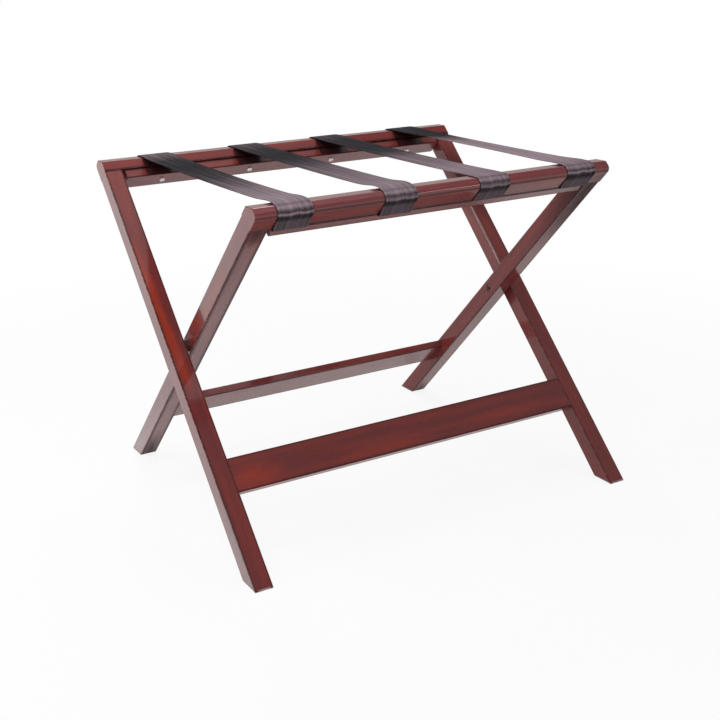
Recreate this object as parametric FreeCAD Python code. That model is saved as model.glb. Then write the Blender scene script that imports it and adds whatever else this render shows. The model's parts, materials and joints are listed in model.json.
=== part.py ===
import FreeCAD, Part
import math
import os

# Folding luggage rack: two wooden frames that cross like scissors on two pivot bolts, and four
# webbing straps over their top rails that stop the frames from opening further.
#
# Row axes: X along the top rails, Y to the back, Z up, origin on the floor under the pivot.
# Outer frame: legs lean from the floor at the front up to the back top rail.
# Inner frame: the same frame, narrower, turned half round, so its rail is at the front.
#
# Each frame is drawn flat in its own axes and then stood up:
#   x  along the rail,  y  up along the leg from the pivot,  z  out of the leg's upper face.

# ---- driving dimensions, mm ------------------------------------------------------------------

LEAN_DEG = 45.8             # between the legs and the floor, rack open
OVERALL_WIDTH = 600.0       # over the outer legs
LEG_WIDTH = 26.0            # along the rails
LEG_DEPTH = 25.0            # across the frame's plane
LEG_BELOW_PIVOT = 337.0     # along the leg's middle line, pivot to floor
LEG_ABOVE_PIVOT = 288.5     # along the leg's middle line, pivot to the rail's seat
EASED_EDGE = 1.2            # rounding on the long edges of the wood
FOOT_CHAMFER = 1.0

RAIL_HEIGHT = 29.0          # along the leg
RAIL_DEPTH = 27.5           # across the frame's plane, a little proud of the legs on both faces
RAIL_TOP_CUT = 13.75        # how far the level top face runs into the rail's depth
RAIL_NOSE_RADIUS = 7.0      # the rail's outermost long edge
RAIL_TOP_RADIUS = 4.5       # the level top's outer edge, where the webbing bends
RAIL_INNER_RADIUS = 1.5     # the level top's inner edge
RAIL_END_CHAMFER = 0.8      # round the rail's end faces, above the seat

STRIP_HEIGHT = 14.0         # along the leg
STRIP_DEPTH = 26.0
STRIP_END_GAP = 4.0         # strip's end to the leg
CLAMP_GAP = 2.0             # rail to strip, where the webbing is held

BOARD_HEIGHT = 48.0         # along the leg
BOARD_THICKNESS = 12.0
BOARD_RECESS = 1.0          # board's face below the leg's upper face
BOARD_EDGE_RADIUS = 1.5
FRONT_BOARD_BELOW_PIVOT = 196.5     # middle of the board, along the leg
BACK_BOARD_BELOW_PIVOT = 205.5

BOARD_TENON_THICKNESS = 7.0         # on each end of a board, let into the leg
BOARD_TENON_LENGTH = 14.0
LEG_TENON_THICKNESS = 9.0           # on the top of each leg, let into the rail
LEG_TENON_LENGTH = 16.0
TENON_SHOULDER = 5.0        # from the piece's edge to its tenon's edge
MORTISE_END_ROOM = 1.0      # glue room beyond a tenon

STRAP_COUNT = 4
STRAP_WIDTH = 51.0
STRAP_TO_LEG = 2.0          # outermost strap's edge to the inner frame's legs
STRAP_THICKNESS = 1.4
STRAP_CLEARANCE = 0.3       # webbing to wood
STRAP_TAIL = 21.0           # webbing inside the clamp, from the rail's outer face

PIVOT_GAP = 6.0             # between crossing legs
BOLT_RADIUS = 3.0
BOLT_LENGTH = 40.0          # under the head
BOLT_HEAD_RADIUS = 5.0
BOLT_HEAD_HEIGHT = 6.0
BOLT_SOCKET_ACROSS_FLATS = 5.0
BOLT_SOCKET_DEPTH = 3.0
BOLT_HEAD_SUNK = 0.9        # head's top below the leg's face
HEAD_SIDE_CLEARANCE = 0.4
RUNNING_CLEARANCE = 0.05    # radial, on the bolt
FACE_CLEARANCE = 0.1        # between faces that turn past each other

INSERT_RADIUS = 5.0
INSERT_LENGTH = 13.0
INSERT_BORE_CLEARANCE = 0.4         # radial, hole for the bolt's end beyond the insert
BOLT_END_ROOM = 2.0         # hole beyond the bolt's end
SPACER_RADIUS = 8.0

GLUE_CLEARANCE = 0.05       # glued or screwed pieces in their holes

SCREW_RADIUS = 2.1
SCREW_LENGTH = 30.0         # under the head
SCREW_END_ROOM = 1.0        # pilot hole beyond the screw
SCREW_HEAD_RADIUS = 3.9
SCREW_HEAD_HEIGHT = 2.4
SCREW_THROUGH_CLEARANCE = 0.2       # radial, in the strip

# ---- sizes worked out ------------------------------------------------------------------------

LEAN = math.radians(LEAN_DEG)
PIVOT_HEIGHT = LEG_BELOW_PIVOT * math.sin(LEAN)
INNER_WIDTH = OVERALL_WIDTH - 2 * LEG_WIDTH - 2 * PIVOT_GAP
RAIL_TOP = LEG_ABOVE_PIVOT + RAIL_HEIGHT
STRIP_TOP = LEG_ABOVE_PIVOT - CLAMP_GAP
STRIP_BOTTOM = STRIP_TOP - STRIP_HEIGHT
NOSE = -RAIL_DEPTH / 2                      # z of the rail's outer face, away from the upper face
TOP_CUT_DROP = RAIL_TOP_CUT / math.tan(LEAN)
BOLT_HOLE_RADIUS = BOLT_RADIUS + RUNNING_CLEARANCE
COUNTERBORE_RADIUS = BOLT_HEAD_RADIUS + HEAD_SIDE_CLEARANCE
COUNTERBORE_DEPTH = BOLT_HEAD_SUNK + BOLT_HEAD_HEIGHT + FACE_CLEARANCE
PILOT_DEPTH = SCREW_LENGTH - STRIP_HEIGHT - CLAMP_GAP + SCREW_END_ROOM
INNER_CLEAR_WIDTH = INNER_WIDTH - 2 * LEG_WIDTH
STRAP_PITCH = (INNER_CLEAR_WIDTH - 2 * STRAP_TO_LEG - STRAP_WIDTH) / (STRAP_COUNT - 1)

X_AXIS = FreeCAD.Vector(1, 0, 0)
Y_AXIS = FreeCAD.Vector(0, 1, 0)
Z_AXIS = FreeCAD.Vector(0, 0, 1)
ORIGIN = FreeCAD.Vector(0, 0, 0)
PARALLEL_WITHIN = 1e-4      # radians


# ---- helpers ---------------------------------------------------------------------------------

def rounded_loop(corners):
    """A closed wire through (u, v, radius) corners, drawn in the plane x = 0."""
    points = [FreeCAD.Vector(0, u, v) for u, v, radius in corners]
    edges = []
    count = len(corners)
    starts = []
    ends = []
    for i in range(count):
        here = points[i]
        back = (points[i - 1] - here).normalize()
        ahead = (points[(i + 1) % count] - here).normalize()
        radius = corners[i][2]
        if radius <= 0:
            starts.append(here)
            ends.append(here)
            continue
        half = back.getAngle(ahead) / 2
        reach = radius / math.tan(half)
        middle = (back + ahead).normalize()
        first = here + back * reach
        last = here + ahead * reach
        crown = here + middle * (radius / math.sin(half) - radius)
        edges.append((i, Part.Arc(first, crown, last).toShape()))
        starts.append(first)
        ends.append(last)
    arcs = dict(edges)
    loop = []
    for i in range(count):
        if i in arcs:
            loop.append(arcs[i])
        loop.append(Part.makeLine(ends[i], starts[(i + 1) % count]))
    return Part.Wire(loop)


def bar(corners, x_low, x_high):
    """A bar along x with the given rounded section."""
    face = Part.Face(rounded_loop(corners))
    face.translate(FreeCAD.Vector(x_low, 0, 0))
    return face.extrude(FreeCAD.Vector(x_high - x_low, 0, 0))


def rod(radius, start, direction, length):
    return Part.makeCylinder(radius, length, start, direction)


def block(low, high):
    """A box between two corners, given as (x, y, z)."""
    start = FreeCAD.Vector(*low)
    size = FreeCAD.Vector(*high) - start
    return Part.makeBox(size.x, size.y, size.z, start)


def parallel(a, b):
    """True for two unit vectors along the same line."""
    return a.cross(b).Length < PARALLEL_WITHIN


def edges_along(shape, direction):
    """The straight edges that run in the given direction."""
    lines = [edge for edge in shape.Edges if isinstance(edge.Curve, Part.Line)]
    return [edge for edge in lines if parallel(edge.tangentAt(edge.FirstParameter), direction)]


def edges_of_ends(shape, direction):
    """The edges round the flat faces that look along the given direction, either way."""
    ends = [face for face in shape.Faces if isinstance(face.Surface, Part.Plane)]
    ends = [face for face in ends if parallel(face.normalAt(0, 0), direction)]
    return [edge for face in ends for edge in face.Edges]


def stand_outer(shape):
    """From a frame's own axes to the row: the outer frame leans to the back."""
    placed = shape.copy()
    placed.rotate(ORIGIN, X_AXIS, LEAN_DEG)
    placed.translate(FreeCAD.Vector(0, 0, PIVOT_HEIGHT))
    return placed


def stand_inner(shape):
    """The inner frame is the same, turned half round, so that it leans to the front."""
    placed = stand_outer(shape)
    placed.rotate(ORIGIN, Z_AXIS, 180)
    return placed


def floor_cut(z):
    """y of the floor, at the height z out of a frame's plane."""
    return -(PIVOT_HEIGHT + z * math.cos(LEAN)) / math.sin(LEAN)


# ---- wood ------------------------------------------------------------------------------------

def leg_middle(width, side):
    """x of a leg's middle line in a frame of the given width. side is -1 or 1."""
    return side * (width - LEG_WIDTH) / 2


def leg_tenon(x_middle, clearance, end_room):
    """The tongue on a leg's top. With its clearances it is the mortise in the rail."""
    half_width = LEG_WIDTH / 2 - TENON_SHOULDER + clearance
    half = LEG_TENON_THICKNESS / 2 + clearance
    top = LEG_ABOVE_PIVOT + LEG_TENON_LENGTH + end_room
    return block((x_middle - half_width, LEG_ABOVE_PIVOT, -half), (x_middle + half_width, top, half))


def leg(x_middle):
    """A square leg with eased edges and a tenon on top; its foot is cut level with the floor."""
    half = LEG_DEPTH / 2
    section = [
        (floor_cut(-half), -half, 0),
        (LEG_ABOVE_PIVOT, -half, 0),
        (LEG_ABOVE_PIVOT, half, 0),
        (floor_cut(half), half, 0),
    ]
    solid = bar(section, x_middle - LEG_WIDTH / 2, x_middle + LEG_WIDTH / 2)
    foot = min(solid.Faces, key=lambda face: face.CenterOfMass.y)
    solid = solid.makeChamfer(FOOT_CHAMFER, foot.Edges)
    solid = solid.makeFillet(EASED_EDGE, edges_along(solid, Y_AXIS))
    return solid.fuse(leg_tenon(x_middle, 0, 0))


def top_rail(width):
    """The rail sits on the leg tops. Its upper corner is cut level, its nose is rounded."""
    half = RAIL_DEPTH / 2
    section = [
        (LEG_ABOVE_PIVOT, NOSE, 0),
        (RAIL_TOP, NOSE, RAIL_NOSE_RADIUS),
        (RAIL_TOP, half - RAIL_TOP_CUT, RAIL_TOP_RADIUS),
        (RAIL_TOP - TOP_CUT_DROP, half, RAIL_INNER_RADIUS),
        (LEG_ABOVE_PIVOT, half, 0),
    ]
    solid = bar(section, -width / 2, width / 2)
    rims = edges_of_ends(solid, X_AXIS)
    above_seat = LEG_ABOVE_PIVOT + RAIL_END_CHAMFER
    solid = solid.makeChamfer(RAIL_END_CHAMFER, [rim for rim in rims if rim.CenterOfMass.y > above_seat])
    cuts = [leg_tenon(leg_middle(width, side), GLUE_CLEARANCE, MORTISE_END_ROOM) for side in (-1, 1)]
    for x in strap_places():
        start = FreeCAD.Vector(x, LEG_ABOVE_PIVOT, 0)
        cuts.append(rod(SCREW_RADIUS + GLUE_CLEARANCE, start, Y_AXIS, PILOT_DEPTH))
    return solid.cut(cuts)


def clamp_strip(width):
    """The strip that the screws pull up against the webbing."""
    half = STRIP_DEPTH / 2
    section = [
        (STRIP_BOTTOM, -half, EASED_EDGE),
        (STRIP_TOP, -half, EASED_EDGE),
        (STRIP_TOP, half, EASED_EDGE),
        (STRIP_BOTTOM, half, EASED_EDGE),
    ]
    reach = width / 2 - LEG_WIDTH - STRIP_END_GAP
    holes = []
    for x in strap_places():
        start = FreeCAD.Vector(x, STRIP_BOTTOM, 0)
        holes.append(rod(SCREW_RADIUS + SCREW_THROUGH_CLEARANCE, start, Y_AXIS, STRIP_HEIGHT))
    return bar(section, -reach, reach).cut(holes)


def board_level():
    """z of the board's middle: its face lies just below the legs' upper faces."""
    return LEG_DEPTH / 2 - BOARD_RECESS - BOARD_THICKNESS / 2


def board_tenon(side, width, below_pivot, clearance, end_room):
    """The tongue on one end of a lower board. With its clearances it is the mortise in the leg."""
    half = BOARD_TENON_THICKNESS / 2 + clearance
    half_height = BOARD_HEIGHT / 2 - TENON_SHOULDER + clearance
    joint = width / 2 - LEG_WIDTH
    across = sorted([side * joint, side * (joint + BOARD_TENON_LENGTH + end_room)])
    low = (across[0], -below_pivot - half_height, board_level() - half)
    high = (across[1], -below_pivot + half_height, board_level() + half)
    return block(low, high)


def lower_board(width, below_pivot):
    """A flat board between the legs, with a tenon on each end."""
    half = BOARD_THICKNESS / 2
    low = -below_pivot - BOARD_HEIGHT / 2
    high = -below_pivot + BOARD_HEIGHT / 2
    section = [
        (low, board_level() - half, BOARD_EDGE_RADIUS),
        (high, board_level() - half, BOARD_EDGE_RADIUS),
        (high, board_level() + half, BOARD_EDGE_RADIUS),
        (low, board_level() + half, BOARD_EDGE_RADIUS),
    ]
    reach = width / 2 - LEG_WIDTH
    tongues = [board_tenon(side, width, below_pivot, 0, 0) for side in (-1, 1)]
    return bar(section, -reach, reach).fuse(tongues)


def jointed_leg(width, side, below_pivot):
    """One leg with the mortise for its board. side is -1 or 1."""
    mortise = board_tenon(side, width, below_pivot, GLUE_CLEARANCE, MORTISE_END_ROOM)
    return leg(leg_middle(width, side)).cut(mortise)


# ---- screws ----------------------------------------------------------------------------------

def strap_places():
    """x of each strap's middle line, and of the screw that clamps it."""
    return [(i - (STRAP_COUNT - 1) / 2) * STRAP_PITCH for i in range(STRAP_COUNT)]


def clamp_screws():
    """Wood screws, driven up through the strip and the webbing into the rail."""
    screws = []
    for x in strap_places():
        seat = FreeCAD.Vector(x, STRIP_BOTTOM, 0)
        head = rod(SCREW_HEAD_RADIUS, seat, -Y_AXIS, SCREW_HEAD_HEIGHT)
        screws.append(rod(SCREW_RADIUS, seat, Y_AXIS, SCREW_LENGTH).fuse(head))
    return screws


# ---- pivots ----------------------------------------------------------------------------------

def inner_leg_face():
    """x of the inner leg's inner face on the right, where the bolt's head is let in."""
    return INNER_WIDTH / 2 - LEG_WIDTH


def bolt_seat():
    return inner_leg_face() + BOLT_HEAD_SUNK + BOLT_HEAD_HEIGHT


def to_side(shape, side):
    """Pivot pieces are drawn on the right; the left ones are the same, turned half round."""
    placed = shape.copy()
    if side < 0:
        placed.rotate(ORIGIN, Z_AXIS, 180)
    placed.translate(FreeCAD.Vector(0, 0, PIVOT_HEIGHT))
    return placed


def pivot_bolt(side):
    """A socket-head cap screw from the inside: its head is let into the inner leg."""
    seat = FreeCAD.Vector(bolt_seat(), 0, 0)
    head_start = seat - X_AXIS * BOLT_HEAD_HEIGHT
    head = rod(BOLT_HEAD_RADIUS, head_start, X_AXIS, BOLT_HEAD_HEIGHT)
    corner = BOLT_SOCKET_ACROSS_FLATS / 2 / math.cos(math.pi / 6)
    hexagon = []
    for i in range(7):
        turn = math.pi / 3 * i
        hexagon.append(head_start + FreeCAD.Vector(0, corner * math.cos(turn), corner * math.sin(turn)))
    socket = Part.Face(Part.makePolygon(hexagon)).extrude(X_AXIS * BOLT_SOCKET_DEPTH)
    shank = rod(BOLT_RADIUS, seat, X_AXIS, BOLT_LENGTH)
    return to_side(head.cut(socket).fuse(shank).removeSplitter(), side)


def pivot_insert(side):
    """A threaded brass sleeve, screwed into the outer leg flush with its inner face."""
    start = FreeCAD.Vector(OVERALL_WIDTH / 2 - LEG_WIDTH, 0, 0)
    sleeve = rod(INSERT_RADIUS, start, X_AXIS, INSERT_LENGTH)
    return to_side(sleeve.cut(rod(BOLT_HOLE_RADIUS, start, X_AXIS, INSERT_LENGTH)), side)


def pivot_spacer(side):
    """A nylon washer on the bolt that keeps the crossing legs apart."""
    start = FreeCAD.Vector(INNER_WIDTH / 2 + FACE_CLEARANCE, 0, 0)
    thickness = PIVOT_GAP - FACE_CLEARANCE
    ring = rod(SPACER_RADIUS, start, X_AXIS, thickness)
    return to_side(ring.cut(rod(BOLT_HOLE_RADIUS, start, X_AXIS, thickness)), side)


def inner_leg_bore(side):
    """The bolt's running hole and the counterbore for its head."""
    face = FreeCAD.Vector(inner_leg_face(), 0, 0)
    hole = rod(BOLT_HOLE_RADIUS, face, X_AXIS, LEG_WIDTH)
    counterbore = rod(COUNTERBORE_RADIUS, face, X_AXIS, COUNTERBORE_DEPTH)
    return to_side(hole.fuse(counterbore), side)


def outer_leg_bore(side):
    """A blind hole for the insert and the bolt's end."""
    face = FreeCAD.Vector(OVERALL_WIDTH / 2 - LEG_WIDTH, 0, 0)
    wide = rod(INSERT_RADIUS + GLUE_CLEARANCE, face, X_AXIS, INSERT_LENGTH)
    end = bolt_seat() + BOLT_LENGTH + BOLT_END_ROOM
    narrow = rod(BOLT_RADIUS + INSERT_BORE_CLEARANCE, face, X_AXIS, end - face.x)
    return to_side(wide.fuse(narrow), side)


# ---- webbing ---------------------------------------------------------------------------------

def row_point(y, z):
    """A point of the outer frame's own plane as (Y, Z) of the row."""
    across = y * math.cos(LEAN) - z * math.sin(LEAN)
    height = PIVOT_HEIGHT + y * math.sin(LEAN) + z * math.cos(LEAN)
    return across, height


def strap_side(offset):
    """One end of the strap's path, at an offset from the wood: from the tail to the level top."""
    tail_end = NOSE + STRAP_TAIL
    under = LEG_ABOVE_PIVOT - offset
    outside = NOSE - offset
    over = RAIL_TOP + offset
    level = row_point(RAIL_TOP, RAIL_DEPTH / 2 - RAIL_TOP_CUT)[1] + offset
    top_z = (level - PIVOT_HEIGHT - over * math.sin(LEAN)) / math.cos(LEAN)
    return [
        (row_point(under, tail_end), 0),
        (row_point(under, outside), 0),
        (row_point(over, outside), RAIL_NOSE_RADIUS + offset),
        (row_point(over, top_z), RAIL_TOP_RADIUS + offset),
    ]


def strap(x_middle):
    """A flat band: out of the back clamp, over the back rail, across, and into the front clamp."""
    near = strap_side(STRAP_CLEARANCE)
    far = strap_side(STRAP_CLEARANCE + STRAP_THICKNESS)
    outline = [(y, z, radius) for (y, z), radius in near]
    outline += [(-y, z, radius) for (y, z), radius in reversed(near)]
    outline += [(-y, z, radius) for (y, z), radius in far]
    outline += [(y, z, radius) for (y, z), radius in reversed(far)]
    band = bar(outline, x_middle - STRAP_WIDTH / 2, x_middle + STRAP_WIDTH / 2)
    # the awl's hole for the clamp screw, square with the weave
    half = SCREW_RADIUS + STRAP_CLEARANCE
    back_hole = block((x_middle - half, STRIP_TOP, -half), (x_middle + half, LEG_ABOVE_PIVOT, half))
    front_hole = block((-x_middle - half, STRIP_TOP, -half), (-x_middle + half, LEG_ABOVE_PIVOT, half))
    return band.cut([stand_outer(back_hole), stand_inner(front_hole)])


# ---- the rack --------------------------------------------------------------------------------

def build():
    nodes = {}
    outer_board = FRONT_BOARD_BELOW_PIVOT
    inner_board = BACK_BOARD_BELOW_PIVOT
    for side, name in ((-1, "left"), (1, "right")):
        outer = stand_outer(jointed_leg(OVERALL_WIDTH, side, outer_board))
        nodes["outer_leg_" + name] = outer.cut(outer_leg_bore(side))
        # the inner frame is turned half round, so its drawn side is the other one
        inner = stand_inner(jointed_leg(INNER_WIDTH, -side, inner_board))
        nodes["inner_leg_" + name] = inner.cut(inner_leg_bore(side))
        nodes["pivot_bolt_" + name] = pivot_bolt(side)
        nodes["pivot_insert_" + name] = pivot_insert(side)
        nodes["pivot_spacer_" + name] = pivot_spacer(side)

    nodes["back_top_rail"] = stand_outer(top_rail(OVERALL_WIDTH))
    nodes["back_clamp_strip"] = stand_outer(clamp_strip(OVERALL_WIDTH))
    nodes["front_lower_board"] = stand_outer(lower_board(OVERALL_WIDTH, outer_board))
    nodes["front_top_rail"] = stand_inner(top_rail(INNER_WIDTH))
    nodes["front_clamp_strip"] = stand_inner(clamp_strip(INNER_WIDTH))
    nodes["back_lower_board"] = stand_inner(lower_board(INNER_WIDTH, inner_board))

    nodes["back_clamp_screws"] = stand_outer(Part.makeCompound(clamp_screws()))
    nodes["front_clamp_screws"] = stand_inner(Part.makeCompound(clamp_screws()))

    for number, x in enumerate(strap_places(), start=1):
        nodes["webbing_strap_%d" % number] = strap(x)
    return nodes


os.makedirs("parts", exist_ok=True)
for node, shape in build().items():
    shape.exportStep("parts/" + node + ".step")
    print("%-22s %d solid(s) %10.1f mm3 valid %s" % (node, len(shape.Solids), shape.Volume, shape.isValid()))
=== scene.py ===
import json
import math

import bpy
from mathutils import Matrix, Vector


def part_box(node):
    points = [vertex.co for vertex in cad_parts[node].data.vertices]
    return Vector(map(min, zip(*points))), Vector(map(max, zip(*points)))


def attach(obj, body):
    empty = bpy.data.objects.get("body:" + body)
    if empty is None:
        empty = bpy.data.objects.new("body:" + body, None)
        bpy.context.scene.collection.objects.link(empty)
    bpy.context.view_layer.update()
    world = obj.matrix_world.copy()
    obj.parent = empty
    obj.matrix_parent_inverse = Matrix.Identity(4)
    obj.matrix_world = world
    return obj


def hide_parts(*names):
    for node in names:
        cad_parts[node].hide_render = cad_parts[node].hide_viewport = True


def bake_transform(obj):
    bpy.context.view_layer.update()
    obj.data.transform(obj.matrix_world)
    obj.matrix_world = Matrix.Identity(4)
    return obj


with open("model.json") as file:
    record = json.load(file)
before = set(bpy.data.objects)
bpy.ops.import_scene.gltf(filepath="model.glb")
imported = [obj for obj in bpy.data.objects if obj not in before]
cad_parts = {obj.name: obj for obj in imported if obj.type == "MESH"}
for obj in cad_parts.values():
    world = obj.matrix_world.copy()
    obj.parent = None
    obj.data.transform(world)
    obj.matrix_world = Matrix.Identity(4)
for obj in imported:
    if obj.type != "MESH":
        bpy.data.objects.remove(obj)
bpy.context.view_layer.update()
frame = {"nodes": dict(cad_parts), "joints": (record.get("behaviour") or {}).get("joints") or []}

scene = bpy.context.scene
nodes = frame["nodes"]


# ---- Legs ---------------------------------------------------------------------------------------
# Four square legs of a close-grained hardwood, planed, stained red-brown and sprayed with a gloss
# lacquer. The stain glows orange-red in a few places. Shade is painted dark beside the eased edges,
# under the rails and by the feet, a broken highlight is painted along the edges, the sawn feet are
# scuffed pale, and a reflection of the floor is painted up the sides of the left feet.

pivot_height = frame["joints"][0]["pos_m"][2]
lean = math.radians(45.8)               # legs to the floor
STAIN_MAROON = (0.150, 0.026, 0.027)
STAIN_RED = (0.205, 0.031, 0.026)
STAIN_GLOW = (0.360, 0.036, 0.014)
# a violet tone, given to the front rail's slanted band only
BAND_VIOLET = (0.230, 0.052, 0.062)
STAIN_PORE = (0.060, 0.012, 0.011)
PAINTED_SHADE = (0.034, 0.010, 0.010)      # painted shade beside edges, in gaps and under rails and webbing; it also thins the lacquer, to dull the reflection there
# a painted highlight, broken along the edges
PAINTED_EDGE_GLINT = (0.420, 0.280, 0.270)
# a painted glint
PAINTED_GLINT = (0.850, 0.660, 0.650)
# pale scuffs at the floor, and the painted reflection of the floor up the sides of a foot
FOOT_SCUFF_AND_REFLECTION = (0.380, 0.310, 0.320)
LACQUER_ROUGHNESS = 0.30
STREAK_SHARE = 0.08             # how far fine streaks, pores and the painted edge shade change the colour
PORE_SHARE = 0.35
EDGE_SHARE = 0.75
SHADE_DULLS_COAT = 0.9              # how much of the lacquer the painted shade beside an edge takes away, to dull its reflection


def wire(tree, source, target):
    """Gives an input socket another node's output, or a plain number, vector or colour."""
    if isinstance(source, bpy.types.NodeSocket):
        tree.links.new(source, target)
    else:
        target.default_value = (*source, 1.0) if target.type == "RGBA" else source


def node_of(tree, kind, **settings):
    """A shader node of one kind. Settings are properties, or input values by socket name."""
    made = tree.nodes.new("ShaderNode" + kind)
    for name, value in settings.items():
        if hasattr(made, name):
            setattr(made, name, value)
        else:
            made.inputs[name.replace("_", " ")].default_value = value
    return made


def new_finish(name):
    """A new material, still plain: (material, its node tree, its surface shader)."""
    material = bpy.data.materials.new(name)
    material.use_nodes = True
    tree = material.node_tree
    return material, tree, tree.nodes["Principled BSDF"]


def axes_of(tree, vector):
    """The X, Y and Z outputs of a vector."""
    parts = node_of(tree, "SeparateXYZ")
    wire(tree, vector, parts.inputs[0])
    return parts.outputs


def maths(tree, operation, *values):
    """A Math node. Each value is a socket or a number."""
    made = node_of(tree, "Math", operation=operation)
    for value, target in zip(values, made.inputs):
        wire(tree, value, target)
    return made.outputs[0]


def vector_maths(tree, operation, *values):
    """A Vector Math node's vector. Each value is a socket or a vector."""
    made = node_of(tree, "VectorMath", operation=operation)
    for value, target in zip(values, made.inputs):
        wire(tree, value, target)
    return made.outputs["Vector"]


def length_of(tree, vector):
    """A vector's length."""
    made = node_of(tree, "VectorMath", operation="LENGTH")
    wire(tree, vector, made.inputs[0])
    return made.outputs["Value"]


def remapped(tree, value, low, high, to_low=0.0, to_high=1.0):
    """A value taken from one range to another, smoothly and clamped."""
    mapped = node_of(tree, "MapRange", interpolation_type="SMOOTHSTEP")
    for source, title in ((value, "Value"), (low, "From Min"), (high, "From Max"),
                          (to_low, "To Min"), (to_high, "To Max")):
        wire(tree, source, mapped.inputs[title])
    return mapped.outputs["Result"]


def mixed(tree, factor, first, second):
    """Two colours mixed. Each is a socket or a plain colour."""
    mix = node_of(tree, "Mix", data_type="RGBA")
    for value, target in ((factor, mix.inputs[0]), (first, mix.inputs[6]), (second, mix.inputs[7])):
        wire(tree, value, target)
    return mix.outputs[2]


def noise(tree, vector, size, detail, roughness=0.5):
    """Cloudy noise whose lumps have a size in metres along each axis."""
    made = node_of(tree, "TexNoise", Scale=1.0, Detail=detail, Roughness=roughness)
    wire(tree, vector_maths(tree, "DIVIDE", vector, size), made.inputs["Vector"])
    return made.outputs[0]


def effect_group(name, inputs, outputs):
    """An empty shader node group with named sockets: (tree, its inputs, its outputs)."""
    tree = bpy.data.node_groups.new(name, "ShaderNodeTree")
    for title, kind in inputs:
        tree.interface.new_socket(name=title, in_out="INPUT", socket_type="NodeSocket" + kind)
    for title, kind in outputs:
        tree.interface.new_socket(name=title, in_out="OUTPUT", socket_type="NodeSocket" + kind)
    entry = tree.nodes.new("NodeGroupInput")
    leave = tree.nodes.new("NodeGroupOutput")
    return tree, entry.outputs, leave.inputs


def make_grain_group():
    """Wood grain. Vector has its first axis along the grain, in metres.
    Figure is the broad uneven stain, Streaks the fine lines, Pores the short dark flecks."""
    tree, given, result = effect_group(
        "wood_grain",
        [("Vector", "Vector")],
        [("Figure", "Float"), ("Streaks", "Float"), ("Pores", "Float")],
    )
    figure = noise(tree, given["Vector"], (0.16, 0.012, 0.012), 3.0)
    wire(tree, remapped(tree, figure, 0.36, 0.66), result["Figure"])
    fine = noise(tree, given["Vector"], (0.05, 0.0013, 0.0013), 2.0, 0.6)
    wire(tree, remapped(tree, fine, 0.35, 0.75), result["Streaks"])
    fleck = noise(tree, given["Vector"], (0.014, 0.0014, 0.0014), 1.0)
    wire(tree, remapped(tree, fleck, 0.60, 0.75), result["Pores"])
    return tree


def make_edge_group():
    """Long edges of a square bar. Vector is measured from the bar's middle, first axis along it.
    Dark is where shade is painted on the upper and lower faces beside an edge, as far as Reach.
    Painted Glint is a thin broken highlight painted on the edge itself. Sides are the two side faces,
    Faces the upper and lower ones."""
    tree, given, result = effect_group(
        "bar_edges",
        [("Vector", "Vector"), ("Half Width", "Float"), ("Half Depth", "Float"), ("Reach", "Float")],
        [("Dark", "Float"), ("Painted Glint", "Float"), ("Sides", "Float"), ("Faces", "Float")],
    )
    axes = axes_of(tree, given["Vector"])
    beside = maths(tree, "SUBTRACT", given["Half Width"], maths(tree, "ABSOLUTE", axes["Y"]))
    below = maths(tree, "SUBTRACT", given["Half Depth"], maths(tree, "ABSOLUTE", axes["Z"]))
    inward = maths(tree, "ADD", beside, below)
    on_face = remapped(tree, below, 0.0004, 0.0010, 1.0, 0.0)
    gathered = remapped(tree, inward, 0.0014, given["Reach"], 1.0, 0.0)
    wire(tree, maths(tree, "MULTIPLY", gathered, on_face), result["Dark"])
    wire(tree, remapped(tree, beside, 0.0004, 0.0012, 1.0, 0.0), result["Sides"])
    wire(tree, on_face, result["Faces"])
    # a thin broken highlight painted on the edge itself
    broken = remapped(tree, noise(tree, given["Vector"], (0.0045, 0.02, 0.02), 1.0), 0.46, 0.60)
    on_edge = remapped(tree, inward, 0.0006, 0.0010, 1.0, 0.0)
    wire(tree, maths(tree, "MULTIPLY", on_edge, broken), result["Painted Glint"])
    return tree


wood_grain = make_grain_group()
bar_edges = make_edge_group()


def with_spots(tree, vector, turn, stain, spots):
    """The stain with its spots, and how much lacquer they spare. Spots of painted shade take lacquer
    away, to dull the reflection where they lie.
    Each spot is (middle, half length, half width, colour, strength)."""
    spared = 1.0
    for middle, half_length, half_width, colour, strength in spots:
        local = vector_maths(tree, "SUBTRACT", vector, turn @ middle)
        local = vector_maths(tree, "DIVIDE", local, (half_length, half_width, half_width))
        patch = remapped(tree, length_of(tree, local), 0.1, 1.0, strength, 0.0)
        least = 0.85 if colour == PAINTED_SHADE else 0.5
        cloud = noise(tree, vector, (0.02, 0.006, 0.006), 2.0)
        patch = maths(tree, "MULTIPLY", patch, remapped(tree, cloud, 0.3, 0.6, least, 1.0))
        stain = mixed(tree, patch, stain, colour)
        if colour == PAINTED_SHADE:
            spared = maths(tree, "MULTIPLY", spared, maths(tree, "SUBTRACT", 1.0, patch))
    return stain, spared


def with_worn_foot_and_reflection(tree, place, vector, sides, stain, foot_reflection):
    """The stain with its scuffs at the floor, and a painted reflection of the floor that fades up the
    sides of a foot.
    """
    height = axes_of(tree, place)["Z"]
    worn = remapped(tree, height, 0.0012, 0.0026, 1.0, 0.0)
    patchy = remapped(tree, noise(tree, vector, (0.004, 0.004, 0.004), 2.0), 0.40, 0.55)
    stain = mixed(tree, maths(tree, "MULTIPLY", worn, patchy), stain, FOOT_SCUFF_AND_REFLECTION)
    # a reflection of the floor painted on the side faces, fading upwards
    reflected_floor = remapped(tree, height, 0.01, 0.15, foot_reflection, 0.0)
    return mixed(tree, maths(tree, "MULTIPLY", reflected_floor, sides), stain, FOOT_SCUFF_AND_REFLECTION)


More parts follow.
